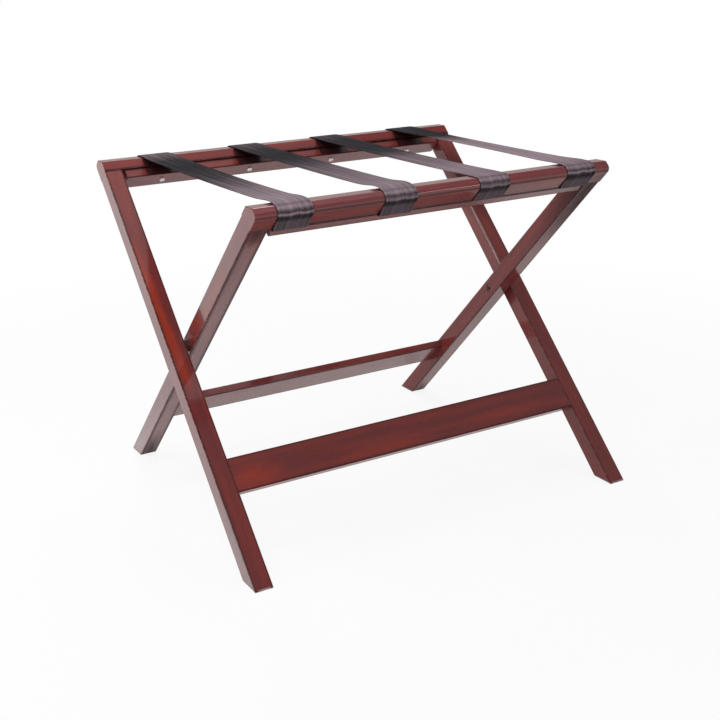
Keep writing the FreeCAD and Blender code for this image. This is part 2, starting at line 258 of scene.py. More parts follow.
def edges_of(tree, vector, turn, node_name, reach):
    """The effect at the long edges, fitted to the size of one piece."""
    corners = [turn @ vertex.co for vertex in nodes[node_name].data.vertices]
    low = Vector([min(corner[axis] for corner in corners) for axis in range(3)])
    high = Vector([max(corner[axis] for corner in corners) for axis in range(3)])
    edges = node_of(tree, "Group", node_tree=bar_edges)
    wire(tree, vector_maths(tree, "SUBTRACT", vector, (low + high) / 2), edges.inputs["Vector"])
    edges.inputs["Half Width"].default_value = (high.y - low.y) / 2
    edges.inputs["Half Depth"].default_value = (high.z - low.z) / 2
    edges.inputs["Reach"].default_value = reach
    return edges.outputs


def coat_weight(tree, edges, coat, spared):
    """How much lacquer lies on a piece: less under the painted shade beside edges, and as much as its
    spots of painted shade have spared.
    """
    face_coat, side_coat, cut_coat = coat
    weight = maths(tree, "MULTIPLY_ADD", edges["Faces"], face_coat - cut_coat, cut_coat)
    more_on_sides = maths(tree, "MULTIPLY", edges["Sides"], maths(tree, "SUBTRACT", side_coat, weight))
    weight = maths(tree, "ADD", weight, more_on_sides)
    clear = maths(tree, "SUBTRACT", 1.0, maths(tree, "MULTIPLY", edges["Dark"], SHADE_DULLS_COAT))
    return maths(tree, "MULTIPLY", maths(tree, "MULTIPLY", weight, clear), spared)


def lacquered_wood(node_name, along, upper, spots=(), coat=(1.0, 1.0, 1.0), coat_roughness=0.08,
                   specular=0.15, edge_reach=0.003, painted_highlight=0.5, foot_reflection=None, shadow_of_webbing=None):
    """Stained and lacquered wood for one piece. along is the grain's direction, upper is across it.
    coat is the lacquer's weight on the upper and lower faces, on the sides and on faces cut between
    them, specular the sheen of the wood under it, edge_reach how far shade is painted from an edge,
    painted_highlight how strong the painted highlight on the edges is, and foot_reflection how strong
    the painted reflection of the floor up the sides of a foot is. shadow_of_webbing is how far the
    webbing's painted shadow darkens the wood: on the sides, and on the upper and lower faces."""
    material, tree, surface = new_finish(node_name + "_wood")
    place = node_of(tree, "TexCoord").outputs["Object"]
    turn = Matrix((along, upper.cross(along), upper))
    grain_axes = node_of(tree, "Mapping", Rotation=turn.to_euler("XYZ"))
    wire(tree, place, grain_axes.inputs["Vector"])
    vector = grain_axes.outputs["Vector"]

    grain = node_of(tree, "Group", node_tree=wood_grain)
    wire(tree, vector, grain.inputs["Vector"])
    stain = mixed(tree, grain.outputs["Figure"], STAIN_MAROON, STAIN_RED)
    stain = mixed(tree, maths(tree, "MULTIPLY", grain.outputs["Streaks"], STREAK_SHARE), stain, STAIN_GLOW)
    stain, spared = with_spots(tree, vector, turn, stain, spots)
    stain = mixed(tree, maths(tree, "MULTIPLY", grain.outputs["Pores"], PORE_SHARE), stain, STAIN_PORE)

    edges = edges_of(tree, vector, turn, node_name, edge_reach)
    # shade painted beside the long edges, and a broken highlight painted on the edges themselves
    stain = mixed(tree, maths(tree, "MULTIPLY", edges["Dark"], EDGE_SHARE), stain, PAINTED_SHADE)
    stain = mixed(tree, maths(tree, "MULTIPLY", edges["Painted Glint"], painted_highlight), stain, PAINTED_EDGE_GLINT)
    # the shadow and dark reflection of the webbing, painted on the wood
    if shadow_of_webbing:
        on_sides, on_faces = shadow_of_webbing
        reach = maths(tree, "MULTIPLY_ADD", edges["Sides"], on_sides - on_faces, on_faces)
        stain = mixed(tree, maths(tree, "MULTIPLY", painted_webbing_shadow(tree, place), reach), stain, PAINTED_SHADE)
    # scuffed feet, with a reflection of the floor painted up their sides
    if foot_reflection is not None:
        stain = with_worn_foot_and_reflection(tree, place, vector, edges["Sides"], stain, foot_reflection)
    wire(tree, stain, surface.inputs["Base Color"])

    flow = noise(tree, vector, (0.05, 0.02, 0.02), 2.0)
    gloss = remapped(tree, flow, 0.3, 0.7, LACQUER_ROUGHNESS - 0.04, LACQUER_ROUGHNESS + 0.05)
    wire(tree, gloss, surface.inputs["Roughness"])
    wire(tree, coat_weight(tree, edges, coat, spared), surface.inputs["Coat Weight"])
    surface.inputs["Coat Roughness"].default_value = coat_roughness
    surface.inputs["Specular IOR Level"].default_value = specular
    surface.inputs["IOR"].default_value = 1.5
    return material


def finish_node(name, material):
    """Gives a frame node its finish."""
    nodes[name].material_slots[0].material = material


def stood(along_leg, out, front=False):
    """A point in a frame's own plane as (y, z) of the rack, measured from the pivot."""
    y = along_leg * math.cos(lean) - out * math.sin(lean)
    z = pivot_height + along_leg * math.sin(lean) + out * math.cos(lean)
    return Vector((-y if front else y, z))


def wood_spot(x, along_leg, out, front=False):
    """A point of the rack from its place in a leaning frame."""
    return Vector((x, *stood(along_leg, out, front)))


outer_up = Vector((0, math.cos(lean), math.sin(lean)))
outer_out = Vector((0, -math.sin(lean), math.cos(lean)))
inner_up = Vector((0, -math.cos(lean), math.sin(lean)))
inner_out = Vector((0, math.sin(lean), math.cos(lean)))
# The orange-red spots are stain. The dark spots are painted shade under the rails and by the feet, and the
# pale line on the right outer leg is a highlight painted along its edge.
LEG_SPOTS = {
    "outer_leg_left": (
        (wood_spot(-0.294, 0.085, 0.0125), 0.120, 0.011, STAIN_GLOW, 0.95),
        (wood_spot(-0.291, 0.010, 0.0125), 0.060, 0.012, STAIN_GLOW, 0.85),
        (wood_spot(-0.289, -0.040, 0.0125), 0.045, 0.010, STAIN_GLOW, 0.9),
    ),
    "inner_leg_left": (
        (wood_spot(-0.268, -0.060, 0.0, True), 0.045, 0.024, STAIN_GLOW, 1.0),
        (wood_spot(-0.255, 0.285, -0.0125, True), 0.045, 0.014, PAINTED_SHADE, 0.9),
        (wood_spot(-0.255, -0.315, -0.0125, True), 0.090, 0.016, PAINTED_SHADE, 0.9),
    ),
    "outer_leg_right": (
        (wood_spot(0.285, 0.190, 0.0125), 0.095, 0.030, PAINTED_SHADE, 0.8),
        # a highlight line painted along this leg's edge
        (wood_spot(0.2742, 0.080, 0.0123), 0.140, 0.0026, PAINTED_GLINT, 1.0),
    ),
    "inner_leg_right": (
        (wood_spot(0.262, 0.270, -0.0125, True), 0.175, 0.045, PAINTED_SHADE, 1.0),
        (wood_spot(0.255, -0.330, -0.0125, True), 0.050, 0.016, PAINTED_SHADE, 0.6),
    ),
}
LEG_LOOKS = {           # lacquer on the sides, sheen, reach of the painted edge shade, painted edge highlight, painted floor reflection at the foot
    "outer_leg_left": (1.0, 0.15, 0.0030, 0.5, 0.4),
    "inner_leg_left": (1.0, 0.15, 0.0070, 0.5, 0.4),
    "outer_leg_right": (0.6, 0.15, 0.0018, 0.3, 0.0),
    "inner_leg_right": (0.6, 0.04, 0.0030, 0.3, 0.0),
}
for leg, (side_coat, sheen, reach, edge_glint, reflected_floor) in LEG_LOOKS.items():
    up, out = (outer_up, outer_out) if leg.startswith("outer") else (inner_up, inner_out)
    finish_node(leg, lacquered_wood(leg, up, out, LEG_SPOTS[leg], coat=(1.0, side_coat, 1.0),
                                    specular=sheen, edge_reach=reach, painted_highlight=edge_glint, foot_reflection=reflected_floor))


# ---- Top rails, clamp strips and lower boards ---------------------------------------------------
# Straight bars of the same wood and finish, with the grain running from end to end. Each rail is
# mortised on the leg tops, each strip is screwed up under its rail, each board is tenoned between legs.

across = Vector((1, 0, 0))
SEAT_REACH = 0.2885             # pivot to the rail's seat, along the leg
RAIL_HEIGHT = 0.029             # along the leg
RAIL_HALF_DEPTH = 0.01375       # across the frame's plane
CLAMP_GAP = 0.002               # between rail and strip, where the webbing is held
WEBBING_SHIFTS = (-0.0005, 0.0035, 0.0035, 0.0040)     # hand-laid bands, off their even spacing
WEBBING_INSET = 0.0020          # each edge of a band, inside its solid strap's edge
rail_top = SEAT_REACH + RAIL_HEIGHT


def band_place(number):
    """The middle and width of one band of webbing across the rack."""
    low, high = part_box("webbing_strap_%d" % number)
    return (low.x + high.x) / 2 + WEBBING_SHIFTS[number - 1], high.x - low.x - 2 * WEBBING_INSET


def painted_webbing_shadow(tree, place):
    """Where the bands of webbing lie on a bar: their painted shadow and dark reflection, fading just
    beside them.
    """
    across_rack = axes_of(tree, place)["X"]
    nearest = None
    for number in range(1, len(WEBBING_SHIFTS) + 1):
        middle, width = band_place(number)
        apart = maths(tree, "ABSOLUTE", maths(tree, "SUBTRACT", across_rack, middle))
        nearest = apart if nearest is None else maths(tree, "MINIMUM", nearest, apart)
    return remapped(tree, nearest, width / 2 - 0.0005, width / 2 + 0.0025, 1.0, 0.0)


# The orange-red spots on the front board are stain. On the front rail a violet tone is given to its slanted
# band only. Its dark lines and patches are painted shade at its nose, in the gap over the clamp strip and
# at its right end, and its pale spots are painted glints at its left end and on its level top. The dark
# spots on the front clamp strip are painted shade in the gap under the rail and at its right end.
BAR_SPOTS = {
    "front_lower_board": (
        (wood_spot(-0.245, -0.205, 0.012), 0.060, 0.030, STAIN_GLOW, 0.7),
        (wood_spot(-0.060, -0.212, 0.012), 0.130, 0.010, STAIN_GLOW, 0.45),
        (wood_spot(0.150, -0.205, 0.012), 0.100, 0.012, STAIN_GLOW, 0.35),
    ),
    "front_top_rail": (
        # a violet tone on this rail's slanted band only
        (wood_spot(0, rail_top, -0.0060, True), 2.0, 0.0075, BAND_VIOLET, 0.8),
        (wood_spot(0, 0.3138, -0.0129, True), 2.0, 0.0021, PAINTED_SHADE, 0.7),
        (wood_spot(0, SEAT_REACH, -RAIL_HALF_DEPTH, True), 2.0, 0.0028, PAINTED_SHADE, 1.0),
        # glints painted at the rail's left end and along its level top
        (wood_spot(-0.2997, rail_top, -0.0060, True), 0.0034, 0.0100, PAINTED_GLINT, 1.0),
        (wood_spot(-0.2960, 0.3140, -0.0130, True), 0.0040, 0.0022, PAINTED_GLINT, 1.0),
        (wood_spot(-0.284, rail_top, 0.0, True), 0.018, 0.0013, PAINTED_GLINT, 0.8),
        (wood_spot(0.285, 0.3000, -0.0138, True), 0.060, 0.022, PAINTED_SHADE, 0.8),
    ),
    "front_clamp_strip": (
        (wood_spot(0, SEAT_REACH - CLAMP_GAP, -0.0130, True), 2.0, 0.0018, PAINTED_SHADE, 1.0),
        (wood_spot(0.270, 0.2800, -0.0130, True), 0.070, 0.022, PAINTED_SHADE, 0.8),
    ),
}
BAR_LOOKS = {           # upper side, lacquer, its roughness, how far the webbing's painted shadow darkens sides and faces
    "back_top_rail": (outer_out, (0.45, 0.45, 1.0), 0.08, (0.95, 0.95)),
    "front_top_rail": (inner_out, (0.45, 0.65, 1.0), 0.08, (0.95, 0.95)),
    "back_clamp_strip": (outer_out, (0.8, 1.0, 1.0), 0.30, (0.0, 0.95)),
    "front_clamp_strip": (inner_out, (1.0, 1.0, 1.0), 0.30, (0.0, 0.0)),
}
for bar, (out, coat, roughness, shade) in BAR_LOOKS.items():
    finish_node(bar, lacquered_wood(bar, across, out, BAR_SPOTS.get(bar, ()), coat, roughness,
                                    painted_highlight=0.15, shadow_of_webbing=shade))
for bar, out in (("front_lower_board", outer_out), ("back_lower_board", inner_out)):
    finish_node(bar, lacquered_wood(bar, across, out, BAR_SPOTS.get(bar, ())))


# ---- Webbing straps -----------------------------------------------------------------------------
# Four bands of black polyester webbing, a tight twill with a round selvedge. Each comes out of the
# clamp under the back rail, goes up over it, spans to the front rail and down into its clamp.

RAIL_TOP_CUT = 0.01375          # how far the level top runs into the rail's depth
RAIL_NOSE_RADIUS = 0.007
RAIL_TOP_RADIUS = 0.0045
STRAP_THICKNESS = 0.0014
STRAP_OFF_WOOD = 0.0001
STRAP_TAIL = 0.021              # webbing inside the clamp
STRAP_TURN_IN = 0.0012          # inner radius where it turns into the clamp
STRAP_STEP = 0.0025             # mesh step along the strap
STRAP_COLUMNS = 28
SELVEDGE_POINTS = 3
BACK_HUMP = 0.0008              # how far the webbing bows up off the level top of the back rail
HUMP_REACH = 0.024
LANDING = 0.009                 # how much of the level top it takes to come down again
FOLD_REACH = 0.16               # share of the half width
PUCKER_HEIGHT = 0.00013
PUCKER_REACH = 0.006
strap_middle_off = STRAP_OFF_WOOD + STRAP_THICKNESS / 2
level_top = stood(rail_top, RAIL_HALF_DEPTH - RAIL_TOP_CUT).y
level_edge = stood(rail_top - RAIL_TOP_CUT / math.tan(lean), RAIL_HALF_DEPTH).x


def strap_half_route():
    """Corners (point, radius) of the strap's middle line, from the back tail to the level top."""
    over = rail_top + strap_middle_off
    outside = -RAIL_HALF_DEPTH - strap_middle_off
    level = level_top + strap_middle_off
    top_out = (level - pivot_height - over * math.sin(lean)) / math.cos(lean)
    under = SEAT_REACH - strap_middle_off
    return [
        (stood(under, -RAIL_HALF_DEPTH + STRAP_TAIL), 0.0),
        (stood(under, outside), strap_middle_off + STRAP_TURN_IN),
        (stood(over, outside), RAIL_NOSE_RADIUS + strap_middle_off),
        (stood(over, top_out), RAIL_TOP_RADIUS + strap_middle_off),
        (Vector((level_edge, level)), 0.0),
    ]


top_edge = abs(strap_half_route()[3][0].x)


def straight(start, end, step):
    """Points after start up to end, evenly spaced."""
    count = max(1, math.ceil((end - start).length / step))
    return [start.lerp(end, i / count) for i in range(1, count + 1)]


def rounded_route(corners, step):
    """Points along straight runs joined by arcs, at most a step apart."""
    points = [corners[0][0]]
    for (before, _), (here, radius), (after, _) in zip(corners, corners[1:], corners[2:]):
        back = (before - here).normalized()
        ahead = (after - here).normalized()
        half = math.acos(max(-1.0, min(1.0, back.dot(ahead)))) / 2
        reach = radius / math.tan(half)
        centre = here + (back + ahead).normalized() * (radius / math.sin(half))
        first = here + back * reach - centre
        turn = first.angle_signed(here + ahead * reach - centre)
        count = max(4, math.ceil(abs(turn) * radius / (step / 3)))
        points += straight(points[-1], centre + first, step)
        for i in range(1, count + 1):
            turned = first.copy()
            turned.rotate(Matrix.Rotation(-turn * i / count, 2))
            points.append(centre + turned)
    points += straight(points[-1], corners[-1][0], step)
    return points


def strap_route():
    """The whole middle line, from the back clamp to the front clamp, as (y, z) points."""
    back = rounded_route(strap_half_route(), STRAP_STEP)
    front = [Vector((-p.x, p.y)) for p in reversed(back)]
    return back + straight(back[-1], front[0], STRAP_STEP)[:-1] + front


def bell(value, middle, width):
    """1 in the middle, fading smoothly to 0 on both sides."""
    return math.exp(-((value - middle) / width) ** 2)


def strap_height(share, y, look):
    """How far the webbing stands off its taut shape, in metres: share is -1 to 1 across it."""
    hump = look["hump"] if y < 0 else BACK_HUMP
    landed = max(0.0, min(1.0, (top_edge - 0.001 - abs(y)) / LANDING))
    height = hump * bell(abs(y), level_edge, HUMP_REACH) * landed * landed * (3 - 2 * landed)
    if abs(y) >= level_edge:
        return height
    free = 1 - (y / level_edge) ** 2        # 0 at the rails, 1 midway between them
    height -= look["sag"] * free
    height += look["cup"] * free * (share * share - 0.35)
    height += look["twist"] * free * share
    for place, size in look["folds"]:
        height += size * min(1.0, free * 2.5) * bell(share, place + 0.12 * y / level_edge, FOLD_REACH)
    return height


def nose_wrinkle(share, y, z, look):
    """Small puckers where the webbing bends over the rail's nose."""
    nose = stood(rail_top, -RAIL_HALF_DEPTH)
    near = bell(math.hypot(abs(y) - nose.x, z - nose.y), 0.0, PUCKER_REACH)
    ripple = math.sin(share * 7.0 + look["phase"]) + 0.6 * math.sin(share * 13.0 + 2.3 * look["phase"])
    return PUCKER_HEIGHT * near * (1.2 + ripple)


def strap_section(route, i, middle_x, width, look):
    """One ring of points round the band at a station of its route."""
    here = route[i]
    before = route[max(i - 1, 0)]
    after = route[min(i + 1, len(route) - 1)]
    run = (after - before).normalized()
    out = Vector((run.y, -run.x))
    half_thick = STRAP_THICKNESS / 2
    half_width = width / 2 - half_thick
    ring = []
    for column in range(STRAP_COLUMNS + 1):
        share = 2 * column / STRAP_COLUMNS - 1
        ring.append((share, half_width * share, half_thick))
    for k in range(1, SELVEDGE_POINTS + 1):
        turn = math.pi * k / (SELVEDGE_POINTS + 1)
        ring.append((1.0, half_width + half_thick * math.sin(turn), half_thick * math.cos(turn)))
    for column in range(STRAP_COLUMNS + 1):
        share = 1 - 2 * column / STRAP_COLUMNS
        ring.append((share, half_width * share, -half_thick))
    for k in range(1, SELVEDGE_POINTS + 1):
        turn = math.pi * k / (SELVEDGE_POINTS + 1)
        ring.append((-1.0, -half_width - half_thick * math.sin(turn), -half_thick * math.cos(turn)))
    points = []
    for share, sideways, off in ring:
        lift = strap_height(share, here.x, look) + nose_wrinkle(share, here.x, here.y, look)
        place = here + out * (off + lift)
        points.append((Vector((middle_x + sideways, place.x, place.y)), sideways))
    return points


def mesh_piece(name, vertices, faces, smooth=True):
    """A new object from its points and faces."""
    mesh = bpy.data.meshes.new(name)
    mesh.from_pydata(vertices, [], faces)
    mesh.polygons.foreach_set("use_smooth", [smooth] * len(mesh.polygons))
    mesh.update()
    piece = bpy.data.objects.new(name, mesh)
    scene.collection.objects.link(piece)
    return piece


def make_strap(name, middle_x, width, look):
    """The band as a closed mesh, with a map in metres: across and along the webbing."""
    route = strap_route()
    rings = [strap_section(route, i, middle_x, width, look) for i in range(len(route))]
    size = len(rings[0])
    vertices = [point for ring in rings for point, sideways in ring]
    distance = [0.0]
    for before, after in zip(route, route[1:]):
        distance.append(distance[-1] + (after - before).length)
    faces = []
    for i in range(len(rings) - 1):
        for k in range(size):
            n = (k + 1) % size
            faces.append((i * size + k, i * size + n, (i + 1) * size + n, (i + 1) * size + k))
    faces.append(tuple(reversed(range(size))))
    faces.append(tuple(range((len(rings) - 1) * size, len(rings) * size)))
    piece = mesh_piece(name, vertices, faces)
    webbing_map = piece.data.uv_layers.new(name="webbing")
    for loop in piece.data.loops:
        station, place = divmod(loop.vertex_index, size)
        webbing_map.data[loop.index].uv = (rings[station][place][1], distance[station])
    return piece, distance[-1]


def make_weave_group():
    """Twill webbing. Vector is across and along the band, in metres, Rib a rib's width over a full
    turn. Height is the relief of the ribs, which lean both ways, Bands the streaks along the band."""
    tree, given, result = effect_group(
        "twill_webbing",
        [("Vector", "Vector"), ("Rib", "Float")],
        [("Height", "Float"), ("Bands", "Float")],
    )
    axes = axes_of(tree, given["Vector"])
    from_middle = maths(tree, "ABSOLUTE", axes["X"])
    waves = []
    for lean_way in (1.0, -1.0):
        sloped = maths(tree, "MULTIPLY_ADD", from_middle, lean_way, axes["Y"])
        waves.append(maths(tree, "SINE", maths(tree, "DIVIDE", sloped, given["Rib"])))
    wire(tree, maths(tree, "MULTIPLY_ADD", waves[1], 0.45, waves[0]), result["Height"])
    bands = noise(tree, given["Vector"], (0.0050, 0.20, 1.0), 2.0, 0.5)
    wire(tree, remapped(tree, bands, 0.25, 0.75), result["Bands"])
    return tree


WEBBING_BLACK = (0.008, 0.008, 0.010)
# the mauve of a sheen painted on the black webbing
WEBBING_PAINTED_SHEEN = (0.532, 0.396, 0.450)
RIB_WIDTH = 0.0013
twill_webbing = make_weave_group()


def distance_to(route, place):
    """How far along a route it comes nearest to a place."""
    nearest = min(range(len(route)), key=lambda i: (route[i] - place).length)
    return sum((after - before).length for before, after in zip(route[:nearest], route[1:nearest + 1]))


def sheen_stops(look, length):
    """(distance along the band, painted sheen) from the back clamp to the front one. The painted sheen
    leaves the webbing nearly black at the back, grows towards the front, gives a pale painted
    highlight in a line along the front nose, and keeps black beside that line."""
    route = strap_route()
    corners = [Vector((-place.x, place.y)) for place, radius in strap_half_route()]
    nose = distance_to(route, corners[2])
    top = distance_to(route, corners[3])
    line = nose + look["line"]
    stops = [(0.0, 0.08), (length - nose, 0.15), (length - top, look["painted_sheen"][0][1])]
    stops += [(length / 2 + share * level_edge, painted_sheen) for share, painted_sheen in look["painted_sheen"]]
    # highlights painted at the front rail's top edge and in a line beside its nose
    stops += [(top - 0.004, 0.76), (top + 0.001, 0.55), (top + 0.0050, 1.15)]
    stops += [(line - 0.0055, 0.95), (line - 0.0016, 0.20), (line - 0.0001, 0.25)]
    stops += [(line + 0.0012, 1.35), (line + 0.0022, 1.2), (line + 0.0032, 0.25), (line + 0.0056, 0.06)]
    stops += [(line + 0.0086, 0.08), (nose + 0.0140, 0.36), (length, 0.44)]
    return stops


def make_webbing(name, look, length):
    """Black polyester webbing, with the painted sheen and highlights of one band along its length."""
    material, tree, surface = new_finish(name)
    place = node_of(tree, "UVMap", uv_map="webbing").outputs[0]
    weave = node_of(tree, "Group", node_tree=twill_webbing)
    weave.inputs["Rib"].default_value = RIB_WIDTH / (2 * math.pi)
    wire(tree, place, weave.inputs["Vector"])
    bands = weave.outputs["Bands"]
    wavy = maths(tree, "SUBTRACT", noise(tree, place, (0.011, 0.03, 1.0), 2.0), 0.5)
    along = maths(tree, "MULTIPLY_ADD", wavy, 0.003, axes_of(tree, place)["Y"])
    painted_sheen = node_of(tree, "ValToRGB")
    wire(tree, maths(tree, "DIVIDE", along, length), painted_sheen.inputs[0])
    stops = sheen_stops(look, length)
    ramp = painted_sheen.color_ramp.elements
    while len(ramp) < len(stops):
        ramp.new(0.5)
    for stop, (distance, level) in zip(ramp, stops):
        stop.position = distance / length
        stop.color = (level / 2, level / 2, level / 2, 1.0)
    # the painted sheen, streaked along the band
    painted_highlight = maths(tree, "MULTIPLY", painted_sheen.outputs[0], remapped(tree, bands, 0.0, 1.0, 0.84, 1.16))
    painted_highlight = maths(tree, "ADD", painted_highlight, remapped(tree, bands, 0.0, 1.0, -0.035, 0.035))
    painted_highlight = maths(tree, "MAXIMUM", painted_highlight, 0.0)
    wire(tree, mixed(tree, painted_highlight, WEBBING_BLACK, WEBBING_PAINTED_SHEEN), surface.inputs["Base Color"])
    wire(tree, remapped(tree, bands, 0.0, 1.0, 0.70, 0.80), surface.inputs["Roughness"])
    relief = node_of(tree, "Bump", Strength=0.25, Distance=0.00010)
    wire(tree, weave.outputs["Height"], relief.inputs["Height"])
    wire(tree, relief.outputs["Normal"], surface.inputs["Normal"])
    surface.inputs["Specular IOR Level"].default_value = 0.06
    return material


# How each band lies and where its sheen is painted. sag, cup, twist, folds and hump are heights in
# metres, each fold with its place across the band. line is where the painted highlight line lies
# beside the nose. painted_sheen runs from -1 at the back rail's level top to 1 at the front one's.
STRAP_LOOKS = (
    {"sag": 0.0026, "cup": 0.0008, "twist": 0.0, "folds": ((-0.1, 0.0005), (0.45, -0.0004)),
     "phase": 0.4, "line": -0.0004, "hump": 0.0020,
     "painted_sheen": ((-1.0, 0.38), (-0.75, 0.05), (-0.45, 0.0), (0.05, 0.10), (0.35, 0.32), (0.55, 0.53),
              (0.90, 0.76))},
    {"sag": 0.0014, "cup": 0.0005, "twist": 0.0004, "folds": ((0.25, 0.0003),),
     "phase": 1.9, "line": -0.0011, "hump": 0.0028,
     "painted_sheen": ((-1.0, 0.20), (-0.75, 0.04), (-0.50, 0.0), (-0.25, 0.03), (0.0, 0.19), (0.15, 0.34),
              (0.35, 0.44), (0.60, 0.56), (0.90, 0.68))},
    {"sag": 0.0010, "cup": -0.0004, "twist": 0.0, "folds": ((-0.3, 0.0003),),
     "phase": 3.1, "line": -0.0011, "hump": 0.0003,
     "painted_sheen": ((-1.0, 0.15), (-0.78, 0.02), (-0.35, 0.02), (-0.12, 0.08), (0.05, 0.30), (0.15, 0.49),
              (0.50, 0.58), (0.78, 0.83), (0.92, 0.76))},
    {"sag": 0.0002, "cup": 0.0006, "twist": -0.0016, "folds": ((0.1, -0.0003),),
     "phase": 4.4, "line": -0.0020, "hump": 0.0012,
     "painted_sheen": ((-1.0, 0.07), (-0.70, 0.0), (-0.52, 0.0), (-0.35, 0.38), (-0.15, 0.85), (0.80, 1.00))},
)
for number, look in enumerate(STRAP_LOOKS, start=1):
    middle, strap_width = band_place(number)
    band, strap_length = make_strap("webbing_band_%d" % number, middle, strap_width, look)
    band.data.materials.append(make_webbing("black_webbing_%d" % number, look, strap_length))
    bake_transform(band)
    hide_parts("webbing_strap_%d" % number)


# ---- Clamp screws -------------------------------------------------------------------------------
# Bright zinc-plated wood screws with a pan head and a cross recess, one under each strap. Each is
# driven up through the clamp strip and the webbing into the rail.

STRIP_HEIGHT = 0.014
SCREW_HEAD_RADIUS = 0.0039
SCREW_HEAD_HEIGHT = 0.0024
SCREW_SHANK_RADIUS = 0.0021
SCREW_CORE_RADIUS = 0.0015
SCREW_LENGTH = 0.030
SCREW_POINT = 0.004
THREAD_PITCH = 0.0018
CROSS_REACH = 0.0026
CROSS_HALF_WIDTH = 0.00085
CROSS_DEPTH = 0.0015
CROSS_TAPER = 0.7               # the recess at its floor, to its size at the top
CROWN_DROP = 0.0007
HEAD_RIM = ((0.97, 0.0013), (1.0, 0.0009), (1.0, 0.00015), (0.97, 0.0))    # share of radius, height
POINT_RADIUS = 0.00005
SCREW_SIDES = 48
strip_bottom = SEAT_REACH - CLAMP_GAP - STRIP_HEIGHT


def cross_reach(turn):
    """Distance from the middle to the edge of the cross recess, in a direction."""
    arm = (turn + math.pi / 4) % (math.pi / 2) - math.pi / 4
    if abs(math.tan(arm)) < CROSS_HALF_WIDTH / CROSS_REACH:
        return CROSS_REACH / math.cos(arm)
    return CROSS_HALF_WIDTH / abs(math.sin(arm))


def dome(radius):
    """Height of the head's crown above the strip."""
    return SCREW_HEAD_HEIGHT - CROWN_DROP * (radius / SCREW_HEAD_RADIUS) ** 2.5


def screw_rings():
    """Rings (radius by direction, height) from the recess over the head and down to the point."""
    turns = [2 * math.pi * k / SCREW_SIDES for k in range(SCREW_SIDES)]
    rings = [[(cross_reach(t) * CROSS_TAPER, SCREW_HEAD_HEIGHT - CROSS_DEPTH) for t in turns]]
    rings.append([(cross_reach(t), dome(cross_reach(t)) - 0.00008) for t in turns])
    for share in (0.1, 0.4, 0.7, 0.9):
        ring = []
        for t in turns:
            radius = cross_reach(t) * (1 - share) + SCREW_HEAD_RADIUS * 0.92 * share
            ring.append((radius, dome(radius)))
        rings.append(ring)
    for share, height in HEAD_RIM:
        rings.append([(SCREW_HEAD_RADIUS * share, height)] * SCREW_SIDES)
    rings.append([(SCREW_SHANK_RADIUS, 0.0)] * SCREW_SIDES)
    depth = 0.0
    while depth < SCREW_LENGTH:
        depth = min(depth + THREAD_PITCH / 4, SCREW_LENGTH)
        taper = min(1.0, (SCREW_LENGTH - depth) / SCREW_POINT)
        ring = []
        for t in turns:
            swing = abs(((depth / THREAD_PITCH + t / (2 * math.pi)) % 1.0) * 2 - 1)
            thread = (SCREW_SHANK_RADIUS - SCREW_CORE_RADIUS) * max(0.0, swing * 2 - 1)
            radius = SCREW_CORE_RADIUS + thread
            ring.append((max(POINT_RADIUS, radius * taper), -depth))
        rings.append(ring)
    return turns, rings


def make_screws(name, front):
    """The four screws of one rail as one mesh."""
    turns, rings = screw_rings()
    up = inner_up if front else outer_up
    head_axis = -up
    side_axis = across
    third_axis = head_axis.cross(side_axis)
    vertices = []
    faces = []
    for number in range(1, len(STRAP_LOOKS) + 1):
        low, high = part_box("webbing_strap_%d" % number)
        seat = stood(strip_bottom, 0.0, front)
        middle = Vector(((low.x + high.x) / 2, seat.x, seat.y))
        twist = 0.5 + 1.7 * number + (0.8 if front else 0.0)    # each stops at an angle of its own
        start = len(vertices)
        vertices.append(middle + head_axis * (SCREW_HEAD_HEIGHT - CROSS_DEPTH * 1.15))
        for ring in rings:
            for t, (radius, height) in zip(turns, ring):
                spread = side_axis * math.cos(t + twist) + third_axis * math.sin(t + twist)
                vertices.append(middle + spread * radius + head_axis * height)
        for k in range(SCREW_SIDES):
            n = (k + 1) % SCREW_SIDES
            faces.append((start, start + 1 + k, start + 1 + n))
            for i in range(len(rings) - 1):
                a = start + 1 + i * SCREW_SIDES
                b = a + SCREW_SIDES
                faces.append((a + k, b + k, b + n, a + n))
        last = start + 1 + (len(rings) - 1) * SCREW_SIDES
        faces.append(tuple(last + k for k in range(SCREW_SIDES)))
    piece = mesh_piece(name, vertices, faces)
    piece.data.set_sharp_from_angle(angle=math.radians(35))
    return piece


def fine_finish(name, colour, tarnish, roughness, metallic):
    """Metal, or a moulding, with a fine uneven surface."""
    material, tree, surface = new_finish(name)
    cloud = node_of(tree, "TexNoise", Scale=900.0, Detail=4.0)
    wire(tree, node_of(tree, "TexCoord").outputs["Object"], cloud.inputs["Vector"])
    patches = remapped(tree, cloud.outputs[0], 0.35, 0.7)
    wire(tree, mixed(tree, patches, colour, tarnish), surface.inputs["Base Color"])
    duller = remapped(tree, patches, 0.0, 1.0, roughness, roughness + 0.15)
    wire(tree, duller, surface.inputs["Roughness"])
    relief = node_of(tree, "Bump", Strength=0.2, Distance=0.00003)
    wire(tree, cloud.outputs[0], relief.inputs["Height"])
    wire(tree, relief.outputs["Normal"], surface.inputs["Normal"])
    surface.inputs["Metallic"].default_value = metallic
    return material


zinc = fine_finish("zinc_plate", (0.86, 0.86, 0.85), (0.62, 0.62, 0.60), 0.22, 1.0)
for rail_name, body_name, at_front in (("back", "outer_frame", False), ("front", "inner_frame", True)):
    screws = make_screws(rail_name + "_pan_head_screws", at_front)
    screws.data.materials.append(zinc)
    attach(screws, body_name)
    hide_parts(rail_name + "_clamp_screws")


